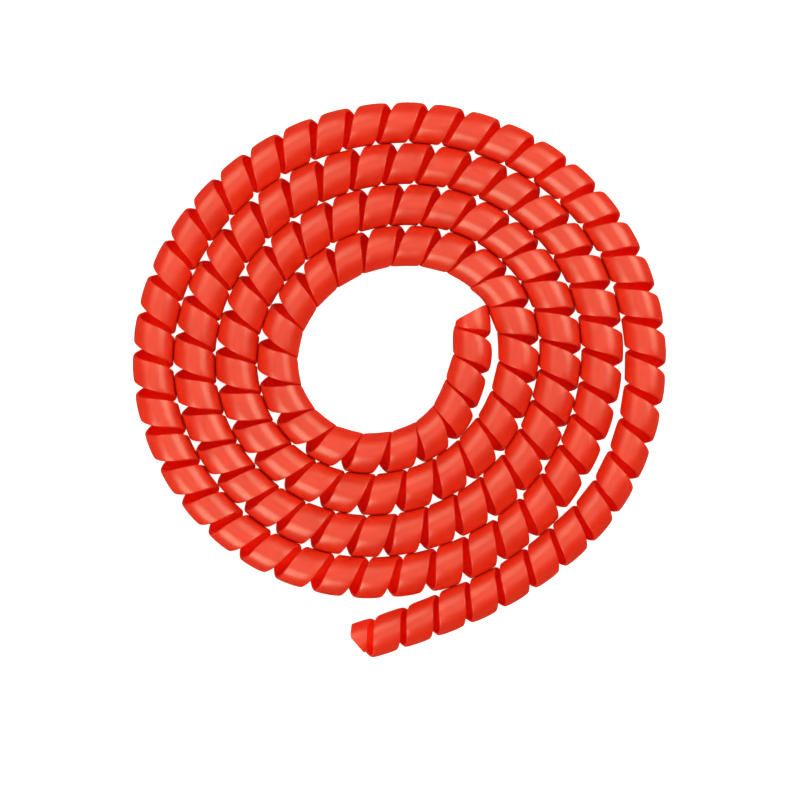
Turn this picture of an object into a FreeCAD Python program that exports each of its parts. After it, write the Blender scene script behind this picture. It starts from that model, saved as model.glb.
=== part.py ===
"""A spiral wrap, the guard that is wound on over an air hose or a bundle of leads.

It is one flat plastic strip, wound into an open left-handed tube and cut off at both ends.
The tube lies coiled flat, loop beside loop, running clockwise outward as seen from above.
Millimetres, +Z up. The tube rests on Z = 0, and the origin is under the middle of the coil.
"""
import math
import os

import FreeCAD
import Part

Vector = FreeCAD.Vector

# The strip and the tube that it makes
tube_od = 17.3            # outside diameter of the tube
wall = 1.3                # thickness of the strip
strip_width = 12.3        # width of the strip, measured across it
side_swing = 0.1          # how much less the strip slants on the coil's outward side
top_swing = 0.15          # and how much more on top of the tube than underneath
edge_gap = 0.5            # least gap between the edges of neighbouring turns

# How far along the tube the strip's middle passes its top, at every tenth turn. The tube is
# cut off before the last place.
marked_turns = 10
crossings = [
    0.6, 143.5, 288.4, 438.0, 586.0, 734.3, 883.1,
    1034.3, 1187.6, 1344.0, 1501.2, 1655.6, 1809.0, 1963.6, 2111.6,
]

# The facets that stand for the round of the tube
facets = 15               # in one turn of the strip
flat_depth = 0.5          # how deep the tube is cut flat where it rests

# The two ends of the tube, which are cut off across it
inner_cut_lean = 14.0     # degrees that the cut leans back on the outward side, at the inner end
outer_cut_lean = 17.0     # and at the outer end
tip_width = 1.0           # the blunt width of the strip's two pointed tips

# The even spiral that the loops follow
start_radius = 35.4       # of the tube's middle line, at the inner end
loop_gap = 1.1            # between one loop and the next
oval = 2.9                # how much longer and shorter the oval's radii are than a circle's
oval_angle = 23.5         # degrees from +X to the oval's long axis
start_angle = 30.0        # degrees from +X to the inner end
point_step = 22.5         # degrees between the points of the route

# How far the loops stray outward from the even spiral, at each eighth of a loop from the inner end
strays = [
    -0.9, -3.2, -0.4, -0.6, -1.3, -0.3, -0.7, -1.0,
    0.6, -2.0, -0.1, -0.1, -1.1, -0.1, -0.5, -0.6,
    0.7, -1.3, 0.0, 0.1, -1.1, -0.1, -0.5, -0.4,
    0.7, -1.3, 0.0, 0.1, -1.1, -0.1, -0.5, -0.4,
    0.6, -0.3,
]

# The free tail: degrees round from the inner end, and how far it strays outward there
tail = [(1504.5, 0.9), (1527.7, -0.5), (1549.3, 0.4), (1566.0, 7.3)]

tube_r = tube_od / 2
bore_r = tube_r - wall
axis_height = tube_r - flat_depth
flat_half_angle = math.degrees(math.acos(axis_height / tube_r))


def route_point(degrees, stray):
    """A point of the route, so many degrees clockwise from the inner end."""
    angle = math.radians(start_angle - degrees)
    long_way = math.cos(2 * (angle - math.radians(oval_angle)))
    radius = start_radius + (tube_od + loop_gap) * degrees / 360 + oval * long_way + stray
    return Vector(radius * math.cos(angle), radius * math.sin(angle), axis_height)


def route_points():
    """The loops' points, two to each stray, and then the tail's."""
    points = []
    for k in range(2 * len(strays) - 1):
        stray = (strays[k // 2] + strays[(k + 1) // 2]) / 2
        points.append(route_point(k * point_step, stray))
    return points + [route_point(*place) for place in tail]


def route_curve():
    """The middle line of the tube: one smooth curve that the points pull into shape."""
    points = route_points()
    spans = len(points) - 2
    curve = Part.BSplineCurve()
    curve.buildFromPolesMultsKnots(
        points, [3] + [1] * (spans - 1) + [3], [k / spans for k in range(spans + 1)], False, 2
    )
    return curve


class Tube:
    """The middle line, with the directions along it and outward from the coil."""

    def __init__(self):
        self.curve = route_curve()
        self.length = self.curve.length()
        self.start = self.curve.FirstParameter

    def at(self, distance):
        """The middle, the way on and the way outward, so far along the tube."""
        inside = min(max(distance, 0.0), self.length)
        where = self.curve.parameterAtDistance(inside, self.start)
        onward = self.curve.tangent(where)[0]
        middle = self.curve.value(where) + onward * (distance - inside)
        return middle, onward, Vector(0, 0, 1).cross(onward)


def clock_faces():
    """Degrees from the top, over the outward side, to each corner of the faceted tube."""
    step = (360 - 2 * flat_half_angle) / (facets - 1)
    first = 180 + flat_half_angle - 360
    return [first + step * k for k in range(facets)]


def turn_stretch(turn):
    """The marked crossing at or before a turn, its turn, and the pitch from there on."""
    mark = min(max(math.floor(turn / marked_turns), 0), len(crossings) - 2)
    pitch = (crossings[mark + 1] - crossings[mark]) / marked_turns
    return crossings[mark], mark * marked_turns, pitch


def turn_distance(turn):
    """How far along the tube the strip's middle is after so many turns."""
    crossing, passed, pitch = turn_stretch(turn)
    clock = 2 * math.pi * turn
    swing = side_swing * (math.cos(clock) - 1) + top_swing * math.sin(clock)
    return crossing + pitch * (turn - passed + swing / (2 * math.pi))


def turn_slant(turn):
    """The angle between the strip and a square cut across the tube."""
    _, _, pitch = turn_stretch(turn)
    clock = 2 * math.pi * turn
    advance = pitch * (1 - side_swing * math.sin(clock) + top_swing * math.cos(clock))
    return math.atan2(advance, 2 * math.pi * tube_r)


def turn_count(length):
    crossing, passed, pitch = turn_stretch(marked_turns * len(crossings))
    return passed + (length - crossing) / pitch


def surface_point(tube, distance, clock, radius):
    middle, _, outward = tube.at(distance)
    side = math.radians(clock)
    return middle + (outward * math.sin(side) + Vector(0, 0, 1) * math.cos(side)) * radius


def strip_section(tube, turn, clock):
    """The strip's four corners where it passes one clock face, or None past a cut end.

    Each turn is straight along the tube, so its width is limited where the tube's bend
    brings one turn's edge close to the next.
    """
    middle_at = turn_distance(turn)
    half_width = strip_width / 2 / math.cos(turn_slant(turn))
    _, onward, _ = tube.at(middle_at)
    outside = surface_point(tube, middle_at, clock, tube_r)
    inside = surface_point(tube, middle_at, clock, bore_r)

    def reach(way):
        """How far along its own line the strip may go before it nears the next turn."""
        midway_at = (middle_at + turn_distance(turn + way)) / 2
        midway = surface_point(tube, midway_at, clock, tube_r)
        return min(half_width, abs((midway - outside).dot(onward)) - edge_gap / 2)

    side = tube_r * math.sin(math.radians(clock))
    inner_cut = (tube_r - side) * math.tan(math.radians(inner_cut_lean))
    outer_cut = tube.length - (tube_r + side) * math.tan(math.radians(outer_cut_lean))
    low = max(middle_at - reach(-1), inner_cut)
    high = min(middle_at + reach(1), outer_cut)
    if high - low < tip_width:
        return None

    back, ahead = onward * (low - middle_at), onward * (high - middle_at)
    return [outside + back, outside + ahead, inside + ahead, inside + back]


def strip_sections(tube):
    """All sections in order, each with its turn and clock face."""
    sections = []
    for whole in range(-1, int(turn_count(tube.length)) + 3):
        for face, clock in enumerate(clock_faces()):
            corners = strip_section(tube, whole + clock / 360, clock)
            if corners:
                sections.append((whole, face, corners))
    return sections


def strip_solid(sections):
    """A ruled loft through the sections, with the facets that it rests on made true planes."""
    outlines = [Part.makePolygon(corners + corners[:1]) for _, _, corners in sections]
    loft = Part.makeLoft(outlines, True, True)
    ground = Part.Plane(Vector(0, 0, 0), Vector(0, 0, -1))
    faces = []
    for face in loft.Faces:
        rests = face.BoundBox.ZMax < wall / 100
        faces.append(Part.Face(ground, face.OuterWire) if rests else face)
    solid = Part.Solid(Part.Shell(faces))
    if solid.Volume < 0:
        solid.reverse()
    return solid


def least_edge_gap(sections):
    """The least gap between the edges of one turn and the next, outside and inside."""
    places = {(whole, face): corners for whole, face, corners in sections}
    least = math.inf
    for (whole, face), corners in places.items():
        after = places.get((whole + 1, face))
        if after:
            least = min(
                least,
                corners[1].distanceToPoint(after[0]),
                corners[2].distanceToPoint(after[3]),
            )
    return least


def least_loop_gap(tube, sections):
    """The least gap from the strip's outside corners to any other loop of the tube."""
    step = tube_od / 8
    middles = [tube.at(k * step)[0] for k in range(int(tube.length / step) + 1)]
    apart = int(2 * tube_od / step)
    least = math.inf
    for _, _, corners in sections:
        for corner in corners[:2]:
            distances = [corner.distanceToPoint(middle) for middle in middles]
            own = distances.index(min(distances))
            least = min([least] + distances[:max(own - apart, 0)] + distances[own + apart:])
    return least - tube_r


def bend_radii(tube):
    """The radius of the middle line's bend at each span of the route."""
    spans = len(route_points()) - 2
    places = [(k + 0.5) / spans for k in range(spans)]
    return [1 / max(tube.curve.curvature(place), 1e-6) for place in places]


def report(tube, sections, solid):
    print(f"tube length {tube.length:.1f}, turns of the strip {turn_count(tube.length):.1f}")
    print("bend radii", " ".join(f"{radius:.0f}" for radius in bend_radii(tube)))
    print(f"least gap between turns of the strip {least_edge_gap(sections):.2f}")
    print(f"least gap between loops of the coil {least_loop_gap(tube, sections):.2f}")
    print(f"volume {solid.Volume:.0f}, valid {solid.isValid()}, faces {len(solid.Faces)}")


def main():
    os.makedirs("parts", exist_ok=True)
    tube = Tube()
    sections = strip_sections(tube)
    spiral_wrap = strip_solid(sections)
    report(tube, sections, spiral_wrap)

    box = spiral_wrap.BoundBox
    print(f"the spiral's centre is at {-box.Center.x:.2f}, {-box.Center.y:.2f}")
    spiral_wrap.translate(Vector(-box.Center.x, -box.Center.y, -box.ZMin))
    spiral_wrap.exportStep("parts/spiral_wrap.step")


main()
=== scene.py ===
import math

import bpy
import numpy as np
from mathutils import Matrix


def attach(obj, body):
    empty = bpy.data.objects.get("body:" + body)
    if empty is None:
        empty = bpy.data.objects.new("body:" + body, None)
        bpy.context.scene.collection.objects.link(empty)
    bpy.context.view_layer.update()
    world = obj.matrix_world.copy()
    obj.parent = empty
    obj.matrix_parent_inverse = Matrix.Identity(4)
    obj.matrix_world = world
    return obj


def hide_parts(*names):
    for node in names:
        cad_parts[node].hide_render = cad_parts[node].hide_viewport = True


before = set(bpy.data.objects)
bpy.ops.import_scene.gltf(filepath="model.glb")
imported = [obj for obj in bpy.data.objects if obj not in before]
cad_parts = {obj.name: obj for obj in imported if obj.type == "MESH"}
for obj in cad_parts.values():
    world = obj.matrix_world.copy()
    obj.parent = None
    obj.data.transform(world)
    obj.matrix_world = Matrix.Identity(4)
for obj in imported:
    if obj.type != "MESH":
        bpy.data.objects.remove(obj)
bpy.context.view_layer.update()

MM = 0.001

# The tube, as in the CAD model, and the strip that it is wound from
tube_od = 17.3 * MM
wall = 1.3 * MM
strip_width = 11.9 * MM
flat_depth = 0.5 * MM                  # how flat the tube is where it rests
tube_r = tube_od / 2
axis_height = tube_r - flat_depth

# The two ends of the tube, which are cut off across it
inner_cut_lean = math.radians(14.0)
inner_cut_start = -2.0 * MM
outer_cut_lean = math.radians(22.0)    # the outer cut is a shallow point
outer_cut_point = -3.85 * MM           # on the coil's inward side of the tube
outer_cut_reach = 2.4 * MM
tip_width = 0.5 * MM                   # the blunt width of the strip's two tips

# Where the strip's middle passes the top of the tube, in mm along it, at every fifth turn.
# These numbers come from a fit to the turns in the photo.
marked_turns = 5
crossings = [
    0.8, 70.3, 144.8, 217.1, 288.6, 362.5, 439.1, 513.5,
    586.7, 660.2, 734.8, 809.4, 883.7, 959.1, 1035.1, 1111.5,
    1188.4, 1266.1, 1344.7, 1424.0, 1502.7, 1580.6, 1657.4, 1733.3,
    1811.3, 1889.8, 1964.8, 2038.8, 2112.8,
]
side_swing = 0.1      # how much less the strip slants on the coil's outward side
top_swing = 0.15      # and how much more on top of the tube than underneath

# The route of the tube's middle line. It is the CAD model's route, with its strays and tail
# fitted to the photo once more. All of it lies 0.4 mm further back, so that the outer end,
# which reaches a little further, stays in the model's box.
start_radius = 35.4 * MM
loop_gap = 1.1 * MM
oval = 2.9 * MM
oval_angle = 23.5
start_angle = 30.0
point_step = 22.5
spiral_centre = (-4.71 * MM, 8.69 * MM)

# How far the loops stray outward from the even spiral, in mm, at each eighth of a loop.
# These numbers, and the tail's, come from a fit to the photo's outlines.
strays = [
    1.0, -3.8, 0.9, 0.4, -0.1, -0.2, 0.0, 0.0,
    1.5, -1.6, 0.3, 0.3, -0.5, -0.2, -0.3, -0.1,
    1.0, -1.2, 0.2, 0.0, -0.8, -0.3, -0.7, -0.7,
    0.2, -1.2, 0.1, 0.3, -0.9, -0.6, -0.5, -1.1,
    -0.2, 0.3,
]
# The free tail: degrees round from the inner end, and the stray there
tail = [(1506.7, 1.1), (1530.7, -1.1), (1550.8, 0.7), (1566.0, 7.5)]

# How finely the strip is made
first_turn, last_turn = -2, 136      # more turns than the tube has, before its ends are cut
sections_in_turn = 32
columns_on_face = (0.1, 0.22, 0.36, 0.5, 0.64, 0.78, 0.9)    # shares of the outer face
columns_at_edge = 4                  # round each rounded edge on the outside of the tube
columns_at_inner_edge = 3            # and on its inside

# The strip's edges and corners
edge_radius = 0.45 * MM      # the strip's rounded edges on the outside of the tube
inner_edge_radius = 0.25 * MM
cut_edge_radius = 0.08 * MM  # the knife leaves the ends sharp
corner_share = 0.3           # a corner takes up no more of a narrow tip's width
butt_gap = 0.06 * MM         # where the inward sides of the turns meet
shingle = 0.2 * MM           # how far one edge rises, and the other sinks, where they meet
shingle_reach = 0.8 * MM     # where the turns are crowded by so much, they do it in full
arch = 0.35 * MM             # how far the strip's edges curl in towards the tube's middle
arch_power = 3.5             # how close to its edges the strip curls
arch_pressed = 0.8           # the share of the curl that goes where loops press together
pinch = 0.08                 # how much narrower it is at the tube's sides

# The tube near its ends
end_taper = 0.35 * MM        # how much slimmer the tube gets towards its two ends
end_taper_reach = 14.0 * MM
end_tuck = 4.4 * MM          # how far the inner end's inward side is drawn in, and over what length
end_tuck_reach = 4.0 * MM
end_flare = 1.2 * MM         # and how far its outward side stands out
end_flare_reach = 2.5 * MM

# Where two loops of the coil press against each other, both are a little out of round
press_depth = 0.1 * MM       # how far the flattened sides sink into each other
press_fade = 0.5 * MM        # how much further away the next loop no longer matters
fullest_side = 9.3 * MM      # as far as a side swells to meet the next loop
side_power = 3               # how narrow the swollen part of a side is
flat_power = 4               # and how narrow the flat under the tube is
side_step = 2 * MM           # the distance between the places where this is worked out
own_loop = 3 * tube_od       # what is no further along the tube than this is no other loop

# The map for baking
map_rows = 16
map_margin = 0.04            # the share of a row that is left free above and below the strip
map_side = 0.005             # and of the map, at its left and right
end_places = (0.25, 0.75)    # where the strip's two ends lie in the map's last row
end_width, end_height = 0.1, 0.3


# The route
def route_point(degrees, stray):
    """A point of the route, so many degrees clockwise from the inner end."""
    angle = math.radians(start_angle - degrees)
    long_way = math.cos(2 * (angle - math.radians(oval_angle)))
    radius = start_radius + (tube_od + loop_gap) * degrees / 360 + oval * long_way + stray * MM
    return (
        spiral_centre[0] + radius * math.cos(angle),
        spiral_centre[1] + radius * math.sin(angle),
        axis_height,
    )


def route_points():
    points = []
    for k in range(2 * len(strays) - 1):
        stray = (strays[k // 2] + strays[(k + 1) // 2]) / 2
        points.append(route_point(k * point_step, stray))
    return points + [route_point(*place) for place in tail]


def route_path():
    """Close points along the smooth curve that the route's points pull into shape."""
    points = route_points()
    curve = bpy.data.curves.new("route", "CURVE")
    curve.dimensions = "3D"
    spline = curve.splines.new("NURBS")
    spline.points.add(len(points) - 1)
    for point, place in zip(spline.points, points):
        point.co = (*place, 1.0)
    spline.order_u = 3
    spline.use_endpoint_u = True
    spline.resolution_u = 64
    holder = bpy.data.objects.new("route", curve)
    mesh = bpy.data.meshes.new_from_object(holder)
    path = np.array([v.co for v in mesh.vertices], float)
    bpy.data.objects.remove(holder)
    bpy.data.meshes.remove(mesh)
    return path


class Tube:
    """The middle line by distance, with the directions along it and outward from the coil."""

    def __init__(self, path):
        self.path = path
        steps = np.linalg.norm(np.diff(path, axis=0), axis=1)
        self.along = np.concatenate([[0], np.cumsum(steps)])
        self.length = self.along[-1]
        self.tangents = np.gradient(path, self.along, axis=0, edge_order=2)

    def bend(self, distance):
        """One over the radius of the tube's bend, at each distance."""
        turning = np.unwrap(np.arctan2(self.tangents[:, 1], self.tangents[:, 0]))
        return -np.interp(distance, self.along, np.gradient(turning, self.along))

    def at(self, distance):
        """Middles, ways on and ways outward, one for each distance."""
        inside = np.clip(distance, 0, self.length)
        pick = lambda values: np.stack([np.interp(inside, self.along, v) for v in values.T], -1)
        onward = pick(self.tangents)
        onward /= np.linalg.norm(onward, axis=-1, keepdims=True)
        middle = pick(self.path) + onward * (distance - inside)[..., None]
        outward = np.stack([-onward[..., 1], onward[..., 0], 0 * onward[..., 0]], -1)
        return middle, onward, outward

    def sides(self, way):
        """How far the tube's outward (1) or inward (-1) side swells to meet the next loop,
        and how hard it presses on it from 0 to 1, at even steps along the tube."""
        steps = np.linspace(0, self.length, int(self.length / side_step))
        middle, _, outward = self.at(steps)
        to_others = middle[None] - middle[:, None]
        distance = np.linalg.norm(to_others, axis=-1)
        same_loop = np.abs(steps[None] - steps[:, None]) < own_loop
        behind = np.einsum("ijk,ik->ij", to_others, outward) * way < 0
        distance[same_loop | behind] = np.inf
        half_way = distance.min(axis=1) / 2
        press = np.clip((fullest_side + press_fade - half_way) / press_fade, 0, 1)
        full = tube_r + (fullest_side - tube_r) * press
        return steps, np.minimum(half_way + press_depth / 2, full), press

    def swell(self, clock, distance):
        """How far the tube reaches from its middle line where it meets the next loop, and how
        hard it presses. There is a row for each clock angle, 0 on top and 90 degrees outward."""
        reach, press = np.zeros_like(distance), np.zeros_like(distance)
        for way in (1, -1):
            steps, side_reach, side_press = self.sides(way)
            rows = np.sin(clock) * way > 0
            reach[rows] = np.interp(distance[rows], steps, side_reach)
            press[rows] = np.interp(distance[rows], steps, side_press)
        return np.where(press > 0, reach, tube_r), press


# The strip's edges
def turn_distance(turn):
    """How far along the tube the strip's middle is after so many turns."""
    last = len(crossings) - 2
    mark = np.clip(np.floor(turn / marked_turns).astype(int), 0, last)
    marks = np.array(crossings) * MM
    pitch = (marks[mark + 1] - marks[mark]) / marked_turns
    clock = 2 * math.pi * turn
    swing = top_swing * np.sin(clock) + side_swing * (np.cos(clock) - 1)
    return marks[mark] + pitch * (turn - mark * marked_turns + swing / (2 * math.pi))


def strip_edges(tube, turn):
    """How far along the tube the strip's two edges are where its middle has made so many turns."""
    middle_at = turn_distance(turn)
    clock = 2 * math.pi * turn
    stretch = 1 + tube_r * np.sin(clock) * tube.bend(middle_at)
    slant = np.arctan2(np.gradient(middle_at, turn) * stretch, 2 * math.pi * tube_r)
    width = strip_width * (1 - pinch * np.sin(clock) ** 2)
    lag = width / 2 * np.sin(slant) / (2 * math.pi * tube_r)
    half = width / 2 * np.cos(slant) / stretch
    low = np.interp(turn, turn + lag, middle_at - half)
    high = np.interp(turn, turn - lag, middle_at + half)
    return low, high


def edges_with_room(tube, turn):
    """The edges, drawn in where the turns meet, and how crowded they are there from 0 to 1."""
    middle_at = turn_distance(turn)
    low, high = strip_edges(tube, turn)
    low_room = (turn_distance(turn - 1) + middle_at + butt_gap) / 2
    high_room = (turn_distance(turn + 1) + middle_at - butt_gap) / 2
    crowd = np.clip(np.maximum(low_room - low, high - high_room) / shingle_reach, 0, 1)
    crowd = crowd * crowd * (3 - 2 * crowd)
    return np.maximum(low, low_room), np.minimum(high, high_room), crowd


def cuts(tube, clock):
    """How far along the tube its two ends are cut off, at each clock angle."""
    side = tube_r * np.sin(clock)
    inner_cut = inner_cut_start + (tube_r - side) * math.tan(inner_cut_lean)
    outer_cut = tube.length + outer_cut_reach
    outer_cut = outer_cut - np.abs(side - outer_cut_point) * math.tan(outer_cut_lean)
    return inner_cut, outer_cut


class Sections:
    """Sections through the strip at even steps of a turn, from one tip to the other.

    Each has its turn, its clock angle round the tube, the middle and half the width that the
    strip has without the cuts, how crowded it is, and its low and high end along the tube."""

    def __init__(self, tube):
        steps = np.arange(first_turn * sections_in_turn, last_turn * sections_in_turn)
        turn = steps / sections_in_turn
        clock = 2 * math.pi * (turn - np.round(turn))
        low, high, crowd = edges_with_room(tube, turn)
        inner_cut, outer_cut = cuts(tube, clock)
        cut_low, cut_high = np.maximum(low, inner_cut), np.minimum(high, outer_cut)
        wide = np.flatnonzero(cut_high - cut_low >= tip_width)
        keep = slice(wide[0], wide[-1] + 1)
        self.turn, self.clock, self.crowd = turn[keep], clock[keep], crowd[keep]
        self.half = ((high - low) / 2)[keep]
        self.middle = ((high + low) / 2)[keep]
        self.low, self.high = cut_low[keep], cut_high[keep]
        self.low_is_cut = (low < inner_cut)[keep]
        self.high_is_cut = (high > outer_cut)[keep]

    def corner_size(self, is_cut, radius):
        """How large a rounded corner is in each section."""
        spare = (self.high - self.low) * corner_share
        return np.minimum(np.where(is_cut, cut_edge_radius, radius), spare)


# The strip's outline
def corner(at, towards, size, from_angle, to_angle, count, inner=False):
    """The outline's columns round a corner, which is at a distance along the tube and has its
    own size in each section. Each is the distance along, the depth below the outer face, and
    the way the surface faces: its part along the tube and its part out of it."""
    columns = []
    for k in range(count):
        angle = math.radians(from_angle + (to_angle - from_angle) * k / (count - 1))
        x = at + towards * size + size * math.cos(angle)
        depth = size - size * math.sin(angle)
        if inner:
            depth = wall - size - size * math.sin(angle)
        columns.append((x, depth, math.cos(angle), math.sin(angle)))
    return columns


def outline(sections):
    """The columns of all sections, from the low outer corner round to the low inner corner."""
    low, high = sections.low, sections.high
    low_out = sections.corner_size(sections.low_is_cut, edge_radius)
    high_out = sections.corner_size(sections.high_is_cut, edge_radius)
    low_in = sections.corner_size(sections.low_is_cut, inner_edge_radius)
    high_in = sections.corner_size(sections.high_is_cut, inner_edge_radius)

    columns = corner(low, 1, low_out, 180, 90, columns_at_edge)
    for share in columns_on_face:
        x = (low + low_out) * (1 - share) + (high - high_out) * share
        columns.append((x, 0 * x, 0.0, 1.0))
    columns += corner(high, -1, high_out, 90, 0, columns_at_edge)
    columns += corner(high, -1, high_in, 0, -90, columns_at_inner_edge, inner=True)
    columns.append(((low + high) / 2, 0 * low + wall, 0.0, -1.0))
    columns += corner(low, 1, low_in, -90, -180, columns_at_inner_edge, inner=True)

    xs, depths = (np.stack([column[k] for column in columns], 1) for k in (0, 1))
    along, out = (np.array([column[k] for column in columns]) for k in (2, 3))
    return xs, depths, along, out


# The strip's surface
def fading(distance, reach):
    """1 at an end of the tube, and less and less away from it."""
    return np.exp(-np.maximum(distance, 0) / reach)


def tube_shape(tube, sections, xs):
    """How far the strip's outer face is from the tube's middle line, and how far the strip's
    edges curl in from there."""
    outward = np.sin(sections.clock)[:, None]
    sideways = np.abs(outward) ** side_power
    underneath = ((1 - np.cos(sections.clock)) / 2)[:, None] ** flat_power
    reach, press = tube.swell(sections.clock, xs)
    radius = tube_r + (reach - tube_r) * sideways
    radius = radius - end_taper * fading(np.minimum(xs, tube.length - xs), end_taper_reach)
    radius = radius - end_tuck * np.clip(-outward, 0, 1) ** 2 * fading(xs, end_tuck_reach)
    radius = radius + end_flare * np.clip(outward, 0, 1) ** 2 * fading(xs, end_flare_reach)
    return radius - flat_depth * underneath, arch * (1 - arch_pressed * press * sideways)


def strip_surface(tube, sections):
    """The places and normals of the strip's points, in rows of sections, how far across the
    strip each is, from -1 to 1, and the part of each column's normal that points out."""
    xs, depths, along, out = outline(sections)
    half = sections.half[:, None]
    rise_at_edge = (sections.crowd * shingle)[:, None]
    offset = (xs - sections.middle[:, None]) / half
    depths = depths - rise_at_edge * offset
    radius, curl = tube_shape(tube, sections, xs)
    radius = radius - curl * np.abs(offset) ** arch_power - depths
    curl_slope = arch_power * curl * np.sign(offset) * np.abs(offset) ** (arch_power - 1) / half
    tip = np.arctan(rise_at_edge / half - curl_slope)[..., None]

    middle, on, outward = tube.at(xs)
    clock = sections.clock[:, None, None]
    rise = outward * np.sin(clock)
    rise = rise + np.array([0, 0, 1.0]) * np.cos(clock)
    places = middle + rise * radius[..., None]
    on, rise = on * np.cos(tip) + rise * np.sin(tip), rise * np.cos(tip) - on * np.sin(tip)
    leaning = on * along[None, :, None] + rise * out[None, :, None]
    tangent = on * -out[None, :, None] + rise * along[None, :, None]
    normals = np.cross(tangent, np.gradient(places, axis=0))
    normals *= np.sign(np.einsum("ijk,ijk->ij", normals, leaning))[..., None]
    normals /= np.linalg.norm(normals, axis=-1, keepdims=True)
    return places, normals, offset, out


def strip_mesh(places, normals):
    """The strip's mesh: quads from section to section, and one flat face at each end."""
    rows, count = places.shape[:2]
    index = np.arange(rows * count).reshape(rows, count)
    a, b = index[:-1], index[1:]
    quads = np.stack([a, np.roll(a, -1, 1), np.roll(b, -1, 1), b], -1).reshape(-1, 4)
    faces = [tuple(quad) for quad in quads.tolist()]
    faces += [tuple(index[0, ::-1].tolist()), tuple(index[-1].tolist())]
    mesh = bpy.data.meshes.new("spiral_strip")
    mesh.from_pydata(places.reshape(-1, 3).tolist(), [], faces)
    mesh.update()
    for polygon in mesh.polygons:
        polygon.use_smooth = True
    mesh.normals_split_custom_set_from_vertices(normals.reshape(-1, 3).tolist())
    return mesh


def inner_faces(rows, out):
    """1 for each face on the inside of the tube, and 0 for the others and for the two ends."""
    inner = (out < 0) & (np.roll(out, 1) < 0)
    return np.concatenate([np.tile(inner, rows - 1), [False, False]]).astype(np.int32)


def lay_out(mesh, places):
    """A map for baking: the strip in rows above each other, and its two ends in the last row."""
    rows, count = places.shape[:2]
    ring = np.linalg.norm(np.roll(places[rows // 2], -1, 0) - places[rows // 2], axis=1)
    share = np.concatenate([[0], np.cumsum(ring)]) / ring.sum()
    in_row = math.ceil((rows - 1) / map_rows)
    section = np.arange(rows - 1)[:, None, None]
    corner_on, corner_up = np.array([0, 0, 1, 1]), np.array([0, 1, 1, 0])
    column = np.arange(count)[None, :, None]
    u = (section % in_row + corner_on) / in_row
    v = (section // in_row + map_margin + share[column + corner_up] * (1 - 2 * map_margin))
    u, v = np.broadcast_arrays(map_side + (1 - 2 * map_side) * u, v / (map_rows + 1))
    angle = 2 * math.pi * share[:-1]
    spots = [np.stack([u.ravel(), v.ravel()], 1)]
    for middle in end_places:
        end_v = (map_rows + 0.5 + end_height * np.sin(angle)) / (map_rows + 1)
        spots.append(np.stack([middle + end_width * np.cos(angle), end_v], 1))
    loops = np.concatenate(spots).astype(np.float32)
    mesh.uv_layers.new(name="OFBake").data.foreach_set("uv", loops.ravel())


def mark_points(mesh, name, values):
    """Keep a number with each of the mesh's points, for the materials."""
    marks = mesh.attributes.new(name, "FLOAT", "POINT")
    marks.data.foreach_set("value", values.ravel().astype(np.float32))


path = route_path()
tube = Tube(path)
sections = Sections(tube)
places, normals, offset, out = strip_surface(tube, sections)
mesh = strip_mesh(places, normals)
lay_out(mesh, places)
mark_points(mesh, "across", offset)
mark_points(mesh, "around", np.repeat(sections.turn, places.shape[1]))
print("tube length", round(tube.length, 4), "faces", len(mesh.polygons))

wrap = bpy.data.objects.new("spiral_strip", mesh)
bpy.context.scene.collection.objects.link(wrap)


# Materials
cloud_size = 12 * MM
cloud_edges = (0.35, 0.65)          # the noise below and above which the colour is even
lines_in_half_width = 9.0
line_pieces_in_turn = 3.0
line_depth = 0.03 * MM
line_roughness = 0.05               # how much rougher and smoother the lines are
line_edges = (0.3, 0.7)
dent_size = 7 * MM
dent_depth = 0.12 * MM
glow_colours = (1.0, 0.08, 0.03)    # how far red, green and blue light go in the plastic,
glow_depth = 2.5 * MM               # as shares of this depth
coat_roughness = 0.22


def add_noise(tree, place, size, detail=None):
    """Noise of so large a grain, at the places that a socket gives."""
    noise = tree.nodes.new("ShaderNodeTexNoise")
    noise.inputs["Scale"].default_value = 1 / size
    if detail is not None:
        noise.inputs["Detail"].default_value = detail
    tree.links.new(place, noise.inputs["Vector"])
    return noise.outputs["Fac"]


def add_clouds(tree, place, dark, light):
    """Cloudy colour, from the mixing of the dye."""
    noise = add_noise(tree, place, cloud_size)
    ramp = tree.nodes.new("ShaderNodeValToRGB")
    for element, position, colour in zip(ramp.color_ramp.elements, cloud_edges, (dark, light)):
        element.position = position
        element.color = (*colour, 1)
    tree.links.new(noise, ramp.inputs["Fac"])
    return ramp.outputs["Color"]


def add_draw_lines(tree):
    """Faint lines along the strip, which the die drew."""
    across, around = (tree.nodes.new("ShaderNodeAttribute") for _ in range(2))
    across.attribute_name, around.attribute_name = "across", "around"
    strip_place = tree.nodes.new("ShaderNodeCombineXYZ")
    tree.links.new(across.outputs["Fac"], strip_place.inputs["X"])
    tree.links.new(around.outputs["Fac"], strip_place.inputs["Y"])
    stretch = tree.nodes.new("ShaderNodeMapping")
    stretch.inputs["Scale"].default_value = (lines_in_half_width, line_pieces_in_turn, 1)
    tree.links.new(strip_place.outputs["Vector"], stretch.inputs["Vector"])
    return add_noise(tree, stretch.outputs["Vector"], 1.0)


def add_bump(tree, height, depth, normal=None):
    """A bump, on top of another one's normal where it gives one."""
    bump = tree.nodes.new("ShaderNodeBump")
    bump.inputs["Distance"].default_value = depth
    tree.links.new(height, bump.inputs["Height"])
    if normal is not None:
        tree.links.new(normal, bump.inputs["Normal"])
    return bump.outputs["Normal"]


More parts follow.
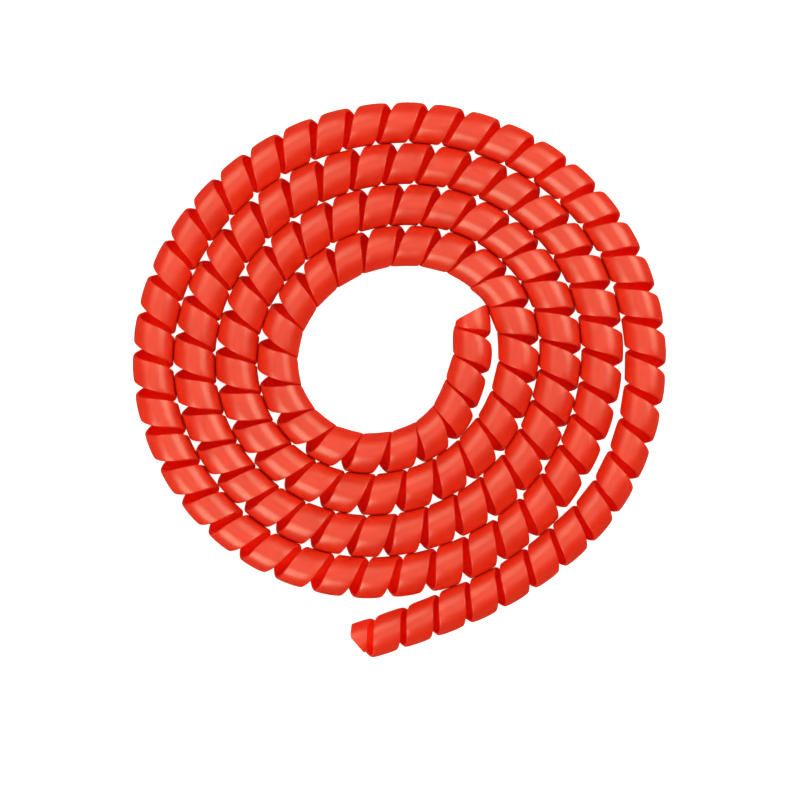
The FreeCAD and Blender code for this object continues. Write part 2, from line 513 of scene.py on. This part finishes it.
def add_roughness(tree, lines, roughness):
    """Roughness that is a little less and more from line to line."""
    gloss = tree.nodes.new("ShaderNodeMapRange")
    gloss.inputs["From Min"].default_value, gloss.inputs["From Max"].default_value = line_edges
    gloss.inputs["To Min"].default_value = roughness - line_roughness
    gloss.inputs["To Max"].default_value = roughness + line_roughness
    tree.links.new(lines, gloss.inputs["Value"])
    return gloss.outputs["Result"]


def plastic(name, dark, light, roughness, specular, see_through, coat):
    """Red polyethylene, coloured all through."""
    material = bpy.data.materials.new(name)
    material.use_nodes = True
    tree = material.node_tree
    shader = tree.nodes["Principled BSDF"].inputs
    shader["Specular IOR Level"].default_value = specular
    shader["Subsurface Weight"].default_value = see_through
    shader["Subsurface Radius"].default_value = glow_colours
    shader["Subsurface Scale"].default_value = glow_depth
    shader["Coat Weight"].default_value = coat
    shader["Coat Roughness"].default_value = coat_roughness

    place = tree.nodes.new("ShaderNodeTexCoord").outputs["Object"]
    tree.links.new(add_clouds(tree, place, dark, light), shader["Base Color"])
    lines = add_draw_lines(tree)
    line_bump = add_bump(tree, lines, line_depth)
    dents = add_noise(tree, place, dent_size, detail=1.0)    # shallow, from the winding
    tree.links.new(add_bump(tree, dents, dent_depth, line_bump), shader["Normal"])
    tree.links.new(add_roughness(tree, lines, roughness), shader["Roughness"])
    return material


def floor_material():
    material = bpy.data.materials.new("white_table")
    material.use_nodes = True
    shader = material.node_tree.nodes["Principled BSDF"].inputs
    shader["Base Color"].default_value = (0.6, 0.6, 0.59, 1)
    shader["Roughness"].default_value = 0.8
    shader["Emission Color"].default_value = (1, 1, 0.97, 1)
    shader["Emission Strength"].default_value = 1.0
    return material


mesh.materials.append(plastic(
    "red_outside", dark=(0.72, 0.018, 0.0008), light=(0.78, 0.022, 0.0016),
    roughness=0.38, specular=0.85, see_through=0.7, coat=0.26,
))
# Both faces are one plastic. The inside's lighter red is painted light, standing in for the light
# inside the tube.
mesh.materials.append(plastic(
    "red_inside_painted_light", dark=(0.83, 0.020, 0.003), light=(0.87, 0.025, 0.004),
    roughness=0.7, specular=0.1, see_through=0.8, coat=0.0,
))
mesh.polygons.foreach_set("material_index", inner_faces(len(places), out))
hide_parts("spiral_wrap")
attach(wrap, "root")

# The studio
floor_reach = 4.0
floor_drop = 0.02 * MM       # the table is a hair lower than the flats that rest on it
softbox_size = 1.2
softbox_distance = 1.8
softbox_colour = (1, 0.95, 0.65)
camera_distance = 1.5
picture_centre = (spiral_centre[0] + 5.18 * MM, spiral_centre[1] - 17.33 * MM)
picture_width = 342.0 * MM
sensor_width = 36.0          # in mm, as the lens is

floor_mesh = bpy.data.meshes.new("table")
floor_mesh.from_pydata(
    [(-floor_reach, -floor_reach, 0), (floor_reach, -floor_reach, 0),
     (floor_reach, floor_reach, 0), (-floor_reach, floor_reach, 0)],
    [], [(0, 1, 2, 3)],
)
floor_mesh.materials.append(floor_material())
floor = bpy.data.objects.new("table", floor_mesh)
floor.location.z = -floor_drop
bpy.context.scene.collection.objects.link(floor)
floor.visible_glossy = False      # the real one's sides show no reflection of it


def softbox(name, towards, tilt, power):
    """A warm square light, at an angle round from +X and tilted so far from straight above."""
    light = bpy.data.lights.new(name, "AREA")
    light.size = softbox_size
    light.color = softbox_colour
    light.energy = power
    holder = bpy.data.objects.new(name, light)
    a, t = math.radians(towards), math.radians(tilt)
    way = np.array([math.sin(t) * math.cos(a), math.sin(t) * math.sin(a), math.cos(t)])
    holder.location = way * softbox_distance
    holder.rotation_euler = (0, t, a)
    holder.visible_camera = False
    bpy.context.scene.collection.objects.link(holder)


# The powers were first fitted to the shading in the photo, and then changed by trial.
softbox("right", 20, 48, 12.6)
softbox("upper_right", 45, 54, 8.0)
softbox("upper", 117, 44, 7.4)
softbox("upper_left", 150, 42, 5.7)
softbox("lower_left", 232, 48, 19.9)
softbox("overhead", 0, 4, 4.6)

world = bpy.data.worlds.new("studio")
bpy.context.scene.world = world
world.use_nodes = True
world.node_tree.nodes["Background"].inputs["Color"].default_value = (1, 1, 0.98, 1)
world.node_tree.nodes["Background"].inputs["Strength"].default_value = 0.05

camera_data = bpy.data.cameras.new("camera")
camera = bpy.data.objects.new("camera", camera_data)
bpy.context.scene.collection.objects.link(camera)
bpy.context.scene.camera = camera
camera.location = (*picture_centre, axis_height + camera_distance)
camera_data.sensor_width = sensor_width
camera_data.lens = sensor_width * camera_distance / picture_width
camera_data.clip_start, camera_data.clip_end = 0.05, 50

bpy.context.scene.view_settings.view_transform = "Standard"
